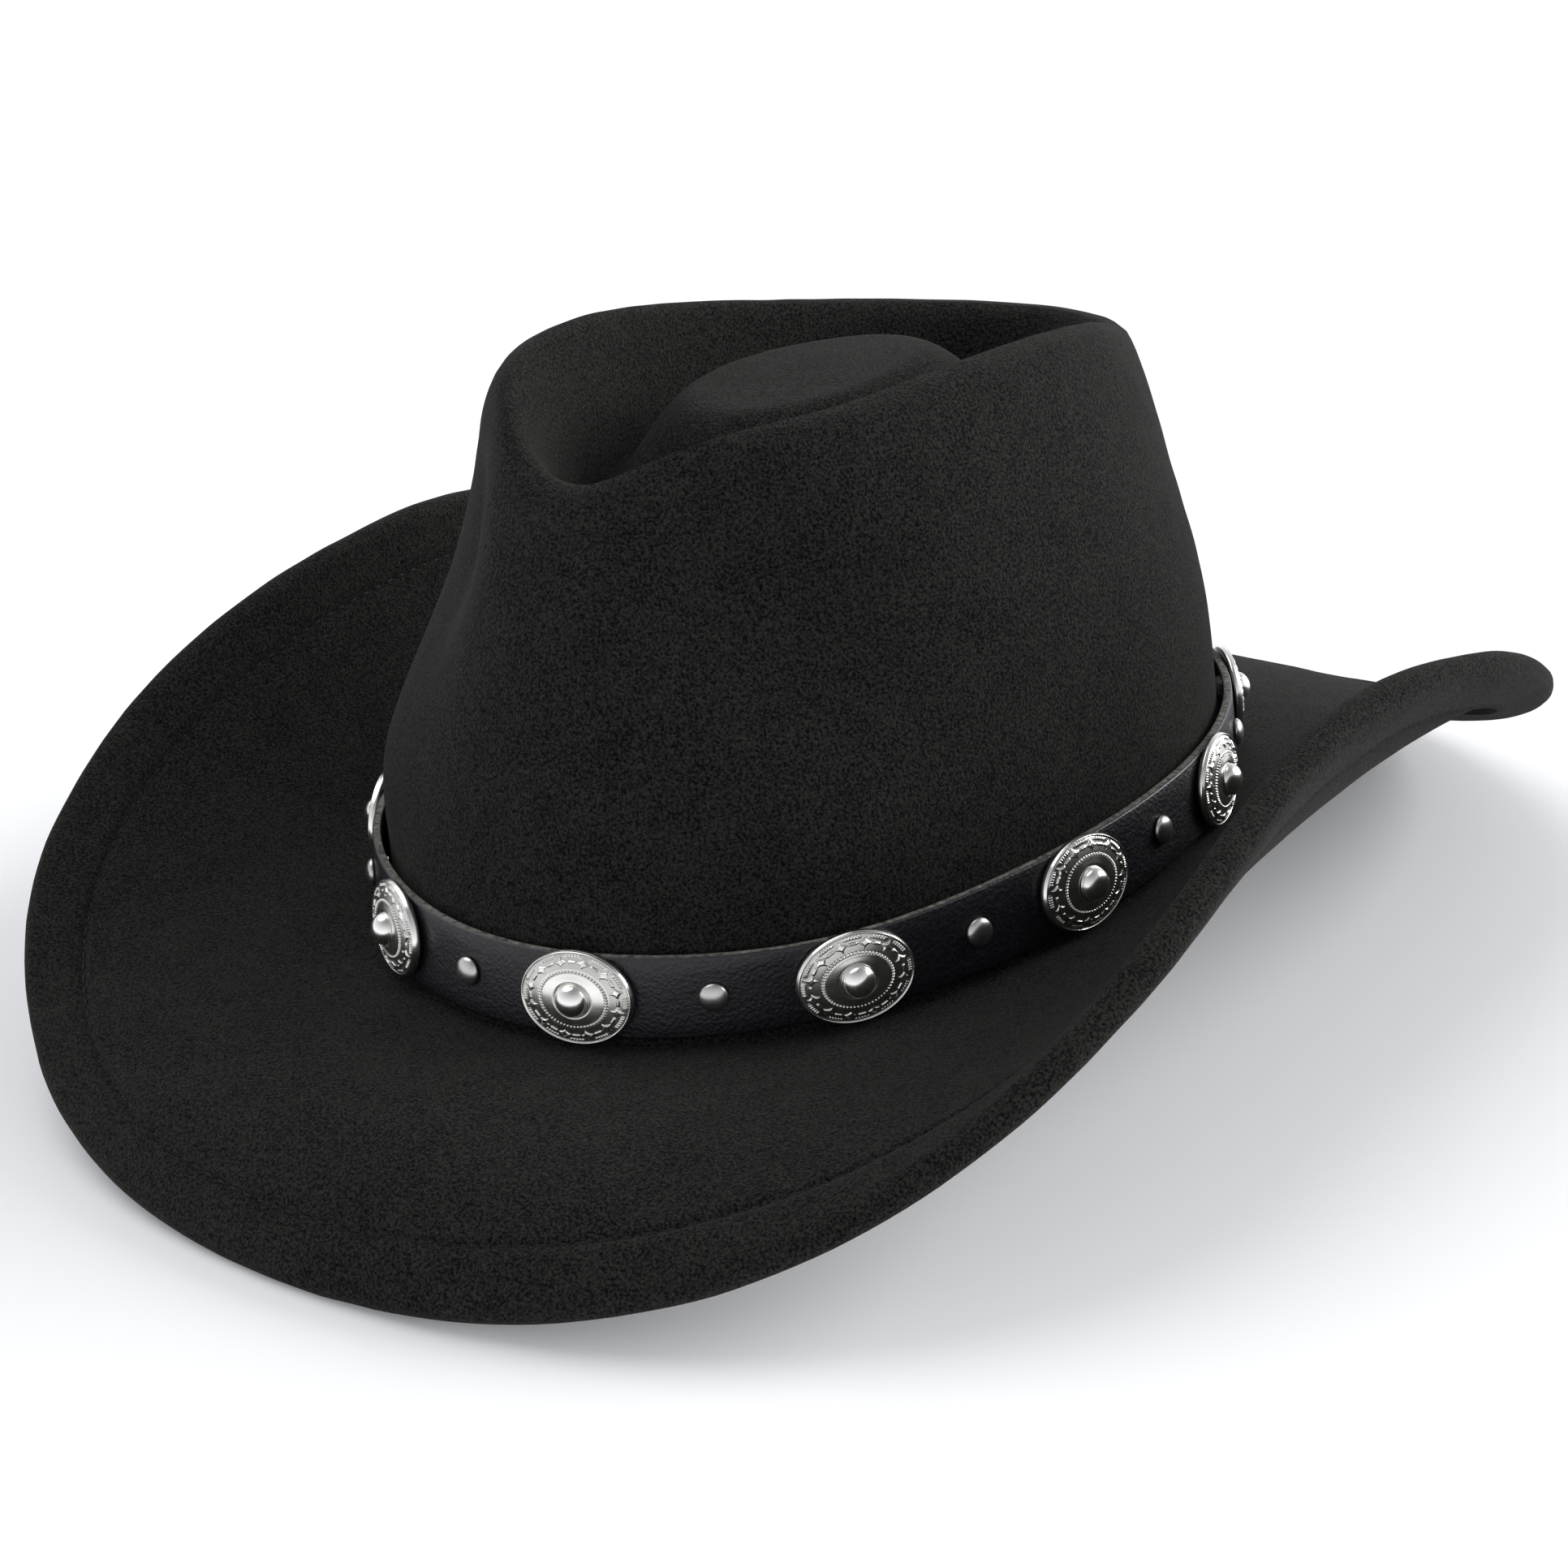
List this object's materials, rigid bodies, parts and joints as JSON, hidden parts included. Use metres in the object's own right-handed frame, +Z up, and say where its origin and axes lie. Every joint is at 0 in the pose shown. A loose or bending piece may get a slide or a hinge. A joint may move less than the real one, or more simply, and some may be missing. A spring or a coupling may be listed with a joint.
{
  "type": "western hat",
  "caption": "Black felt western hat with a pinched teardrop crown, upcurled wired brim, folded hem and a leather band with oval conchos and domed rivets.",
  "frame": {"origin": "on the surface the hat stands on, under the centre of the hat's bounding box", "axes": "-Y is the front of the hat, +X is the wearer's left, +Z is up"},
  "size_m": [0.2776, 0.3531, 0.1417],
  "materials": {
    "felt": "fuzzy matt wool felt, charcoal black",
    "wire": "drawn spring steel",
    "sweatband": "matt black woven cotton",
    "leather": "semi-gloss black leather with a fine pebble grain",
    "silver": "polished silver plate, darkened in the recesses",
    "nickel": "satin nickel plate"
  },
  "bodies": {
    "hat": {"felt_body": "felt", "brim_wire": "wire", "sweatband": "sweatband"},
    "band": {"hat_band": "leather", "concho_01": "silver", "concho_02": "silver", "concho_03": "silver", "concho_04": "silver", "concho_05": "silver", "concho_06": "silver", "concho_07": "silver", "concho_08": "silver", "concho_09": "silver", "concho_10": "silver", "concho_11": "silver", "concho_screw_01": "nickel", "concho_screw_02": "nickel", "concho_screw_03": "nickel", "concho_screw_04": "nickel", "concho_screw_05": "nickel", "concho_screw_06": "nickel", "concho_screw_07": "nickel", "concho_screw_08": "nickel", "concho_screw_09": "nickel", "concho_screw_10": "nickel", "concho_screw_11": "nickel", "rivet_cap_01": "nickel", "rivet_cap_02": "nickel", "rivet_cap_03": "nickel", "rivet_cap_04": "nickel", "rivet_cap_05": "nickel", "rivet_cap_06": "nickel", "rivet_cap_07": "nickel", "rivet_cap_08": "nickel", "rivet_cap_09": "nickel", "rivet_cap_10": "nickel", "rivet_cap_11": "nickel", "rivet_post_01": "nickel", "rivet_post_02": "nickel", "rivet_post_03": "nickel", "rivet_post_04": "nickel", "rivet_post_05": "nickel", "rivet_post_06": "nickel", "rivet_post_07": "nickel", "rivet_post_08": "nickel", "rivet_post_09": "nickel", "rivet_post_10": "nickel", "rivet_post_11": "nickel"}
  },
  "joints": [
    {"name": "band_lift", "type": "slide", "parent": "hat", "child": "band", "axis": [0, 0, 1], "range_m": [0, 0.13]}
  ]
}
